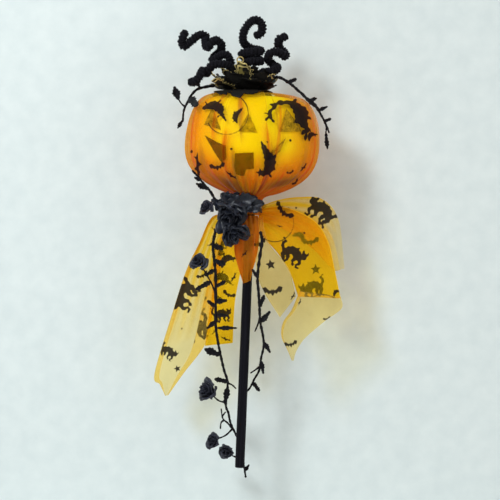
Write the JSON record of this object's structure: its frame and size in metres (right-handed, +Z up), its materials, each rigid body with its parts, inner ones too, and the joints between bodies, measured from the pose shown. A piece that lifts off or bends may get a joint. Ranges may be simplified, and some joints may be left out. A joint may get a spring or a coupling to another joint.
{
  "type": "wrapped pumpkin wand decoration",
  "caption": "Upright seasonal wand: a ribbed pumpkin head with a face, wrapped in sheer printed ribbon on a black dowel, with roses, hanging vines, a petal collar and chenille curls.",
  "frame": {"origin": "centre of the dowel's lower end face", "axes": "+Z up along the dowel, the pumpkin's face looks towards -Y, +X to the viewer's right"},
  "size_m": [0.187, 0.124, 0.4615],
  "materials": {
    "painted_wood": "satin",
    "foam": "matte",
    "felt": "matte",
    "sheer_ribbon": "satin",
    "satin": "satin",
    "paper": "matte",
    "gold": "satin",
    "pile": "matte"
  },
  "bodies": {
    "root": {"stick": "painted_wood", "pumpkin": "foam", "eye_left": "felt", "eye_right": "felt", "nose": "felt", "mouth_left": "felt", "mouth_centre": "felt", "mouth_right": "felt", "ribbon_wrap": "sheer_ribbon", "ribbon_left_outer": "sheer_ribbon", "ribbon_left_inner": "sheer_ribbon", "ribbon_centre": "sheer_ribbon", "ribbon_right_back": "sheer_ribbon", "ribbon_right_fold": "sheer_ribbon", "ribbon_right_front": "sheer_ribbon", "ribbon_right_tail": "sheer_ribbon", "neck_tie": "satin", "rose_large": "satin", "rose_small": "satin", "rose_leaf_right": "satin", "rose_leaf_top": "satin", "rose_leaf_back": "satin", "collar_lower": "satin", "collar_middle": "satin", "collar_upper": "satin", "collar_stamen": "gold"},
    "vine_left": {"vine_left": "paper"},
    "vine_right": {"vine_right": "paper"},
    "sprig_left": {"sprig_left": "paper"},
    "sprig_right": {"sprig_right": "paper"},
    "sprig_low": {"sprig_low": "paper"},
    "chenille_left": {"chenille_left": "pile"},
    "chenille_centre": {"chenille_centre": "pile"},
    "chenille_right": {"chenille_right": "pile"},
    "chenille_low": {"chenille_low": "pile"}
  },
  "joints": [
    {"name": "vine_left_bend", "type": "hinge", "parent": "root", "child": "vine_left", "pos_m": [-0.028, -0.01, 0.243], "axis": [0, 1, 0], "range_deg": [0, 12]},
    {"name": "vine_right_bend", "type": "hinge", "parent": "root", "child": "vine_right", "pos_m": [0.011, -0.0135, 0.236], "axis": [0, -1, 0], "range_deg": [0, 6]},
    {"name": "sprig_left_bend", "type": "hinge", "parent": "root", "child": "sprig_left", "pos_m": [-0.041, 0, 0.3805], "axis": [0, 1, 0], "range_deg": [0, 12]},
    {"name": "sprig_right_bend", "type": "hinge", "parent": "root", "child": "sprig_right", "pos_m": [0.017, 0, 0.3895], "axis": [0, -1, 0], "range_deg": [0, 12]},
    {"name": "sprig_low_bend", "type": "hinge", "parent": "root", "child": "sprig_low", "pos_m": [-0.033, -0.01, 0.256], "axis": [0, -1, 0], "range_deg": [0, 10]},
    {"name": "chenille_left_bend", "type": "hinge", "parent": "root", "child": "chenille_left", "pos_m": [-0.02, 0.003, 0.394], "axis": [1, 0, 0], "range_deg": [-10, 10]},
    {"name": "chenille_centre_bend", "type": "hinge", "parent": "root", "child": "chenille_centre", "pos_m": [-0.009, 0.004, 0.392], "axis": [1, 0, 0], "range_deg": [-10, 10]},
    {"name": "chenille_right_bend", "type": "hinge", "parent": "root", "child": "chenille_right", "pos_m": [0.003, 0.002, 0.3945], "axis": [1, 0, 0], "range_deg": [-10, 10]},
    {"name": "chenille_low_bend", "type": "hinge", "parent": "root", "child": "chenille_low", "pos_m": [-0.021, -0.009, 0.395], "axis": [0, 1, 0], "range_deg": [0, 8]}
  ]
}
